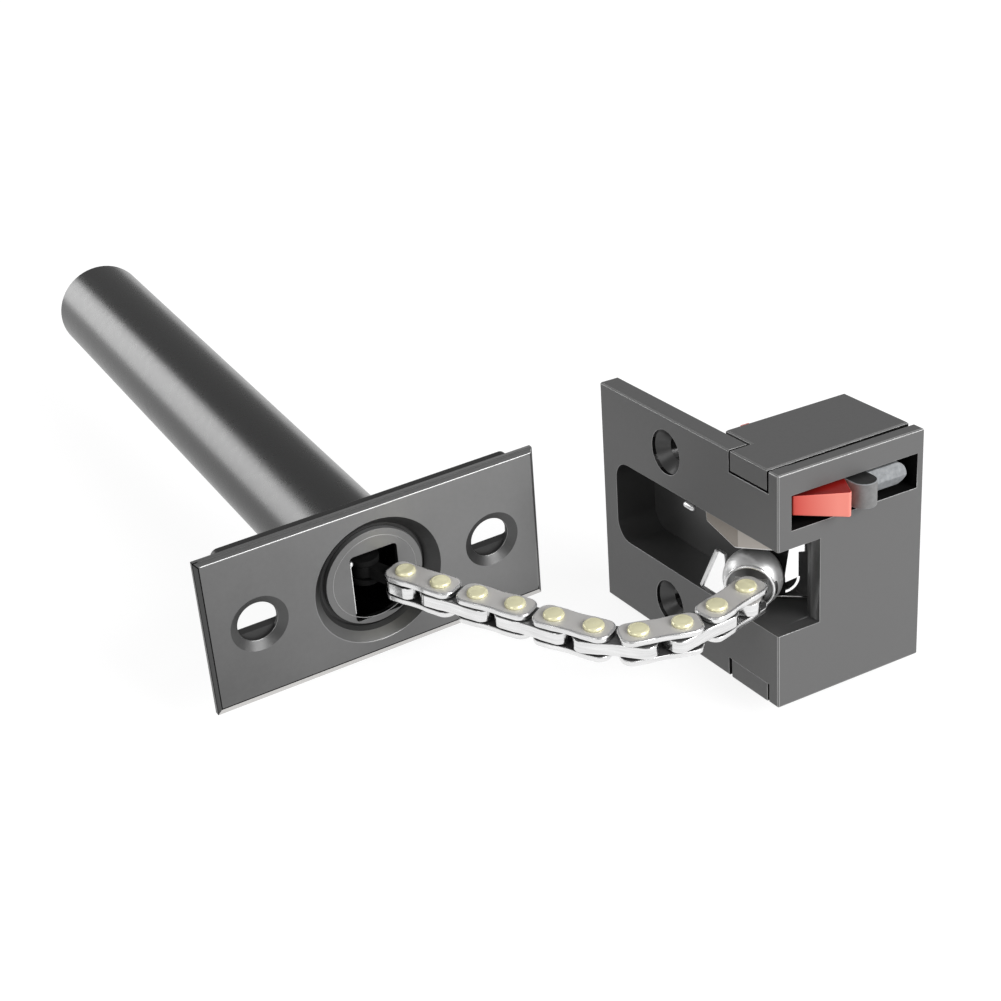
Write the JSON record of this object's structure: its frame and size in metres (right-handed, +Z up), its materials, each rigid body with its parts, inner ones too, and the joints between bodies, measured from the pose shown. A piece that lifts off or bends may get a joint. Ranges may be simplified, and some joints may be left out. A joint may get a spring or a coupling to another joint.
{
  "type": "door chain",
  "caption": "Door chain set: flat riveted link chain running out of a tube behind a screwed face plate, its ball end held in a slotted keeper with a red lock rocker.",
  "frame": {"origin": "centre of the face plate's front face, midway between its two screw holes", "axes": "+X along the face plate, +Y back along the tube into the door, +Z up"},
  "size_m": [0.1236, 0.2034, 0.0517],
  "materials": {
    "plate_steel": "satin grey plated",
    "tube_steel": "satin dark plated",
    "chain_steel": "polished edges, satin tops",
    "dark_steel": "blackened",
    "rivet_brass": "polished",
    "ball_steel": "polished",
    "keeper_metal": "fine satin grey",
    "latch_steel": "polished",
    "bright_steel": "mirror bright",
    "grip_plastic": "matt",
    "red_plastic": "soft gloss",
    "pale_plastic": "matt"
  },
  "bodies": {
    "door_unit": {"face_plate": "plate_steel", "backing_plate": "plate_steel", "guide_disc": "plate_steel", "tube": "tube_steel", "tube_end_cap": "tube_steel"},
    "tail": {"tail_plug": "dark_steel", "tail_pin": "dark_steel"},
    "inner_1": {"chain_block_1": "chain_steel"},
    "outer_1": {"link_top_1": "chain_steel", "link_bottom_1": "chain_steel", "link_rivets_1": "rivet_brass"},
    "inner_2": {"chain_block_2": "chain_steel"},
    "outer_2": {"link_top_2": "chain_steel", "link_bottom_2": "chain_steel", "link_rivets_2": "rivet_brass"},
    "inner_3": {"chain_block_3": "chain_steel"},
    "outer_3": {"link_top_3": "chain_steel", "link_bottom_3": "chain_steel", "link_rivets_3": "rivet_brass"},
    "inner_4": {"chain_block_4": "chain_steel"},
    "outer_4": {"link_top_4": "chain_steel", "link_bottom_4": "chain_steel", "link_rivets_4": "rivet_brass"},
    "inner_5": {"chain_block_5": "chain_steel"},
    "outer_5": {"link_top_5": "chain_steel", "link_bottom_5": "chain_steel", "link_rivets_5": "rivet_brass"},
    "ball_end": {"ball_head": "ball_steel"},
    "keeper": {"keeper_housing": "keeper_metal", "keeper_case": "keeper_metal", "channel_box": "keeper_metal", "keeper_top_cover": "keeper_metal", "keeper_bottom_cover": "keeper_metal", "red_latch_tail": "red_plastic", "gate_plate": "latch_steel", "lower_gate": "bright_steel", "gate_pin": "bright_steel", "front_strip": "bright_steel", "room_wire": "bright_steel", "rocker_pin": "bright_steel"},
    "lock_rocker": {"rocker_grip": "grip_plastic", "rocker_red_wing": "red_plastic", "rocker_pale_wing": "pale_plastic"}
  },
  "joints": [
    {"name": "chain_slide", "type": "slide", "parent": "door_unit", "child": "tail", "axis": [0, -1, 0], "range_m": [0, 0.0115]},
    {"name": "pin_0_hinge", "type": "hinge", "parent": "tail", "child": "inner_1", "pos_m": [0, 0.006, 0], "axis": [0, 0, 1], "range_deg": [-53.8, 12.2]},
    {"name": "pin_1_hinge", "type": "hinge", "parent": "inner_1", "child": "outer_1", "pos_m": [0.00377, -0.00393, 0], "axis": [0, 0, -1], "range_deg": [-23.1, 32.9]},
    {"name": "pin_2_hinge", "type": "hinge", "parent": "outer_1", "child": "inner_2", "pos_m": [0.00724, -0.01114, 0], "axis": [0, 0, 1], "range_deg": [-30.8, 25.2]},
    {"name": "pin_3_hinge", "type": "hinge", "parent": "inner_2", "child": "outer_2", "pos_m": [0.01106, -0.01817, 0], "axis": [0, 0, -1], "range_deg": [-27.4, 28.6]},
    {"name": "pin_4_hinge", "type": "hinge", "parent": "outer_2", "child": "inner_3", "pos_m": [0.01495, -0.02516, 0], "axis": [0, 0, 1], "range_deg": [-27.4, 28.6]},
    {"name": "pin_5_hinge", "type": "hinge", "parent": "inner_3", "child": "outer_3", "pos_m": [0.01877, -0.03219, 0], "axis": [0, 0, -1], "range_deg": [-26.8, 29.2]},
    {"name": "pin_6_hinge", "type": "hinge", "parent": "outer_3", "child": "inner_4", "pos_m": [0.02273, -0.03914, 0], "axis": [0, 0, 1], "range_deg": [-43.3, 12.7]},
    {"name": "pin_7_hinge", "type": "hinge", "parent": "inner_4", "child": "outer_4", "pos_m": [0.02839, -0.04479, 0], "axis": [0, 0, -1], "range_deg": [-0.9, 55.1]},
    {"name": "pin_8_hinge", "type": "hinge", "parent": "outer_4", "child": "inner_5", "pos_m": [0.036, -0.04725, 0], "axis": [0, 0, 1], "range_deg": [-51.2, 4.8]},
    {"name": "pin_9_hinge", "type": "hinge", "parent": "inner_5", "child": "outer_5", "pos_m": [0.04396, -0.04651, 0], "axis": [0, 0, -1], "range_deg": [-20.1, 35.9]},
    {"name": "pin_10_hinge", "type": "hinge", "parent": "outer_5", "child": "ball_end", "pos_m": [0.05175, -0.04469, 0], "axis": [0, 0, 1], "range_deg": [-63, 3]},
    {"name": "ball_turn", "type": "hinge", "parent": "ball_end", "child": "keeper", "pos_m": [0.05716, -0.03961, 0], "axis": [0, 0, 1], "range_deg": [-25, 20]},
    {"name": "lock_rocker_pivot", "type": "hinge", "parent": "keeper", "child": "lock_rocker", "pos_m": [0.07319, -0.04434, 0.01703], "axis": [0.0469, 0.0867, 0.9951], "range_deg": [-14, 0]}
  ]
}
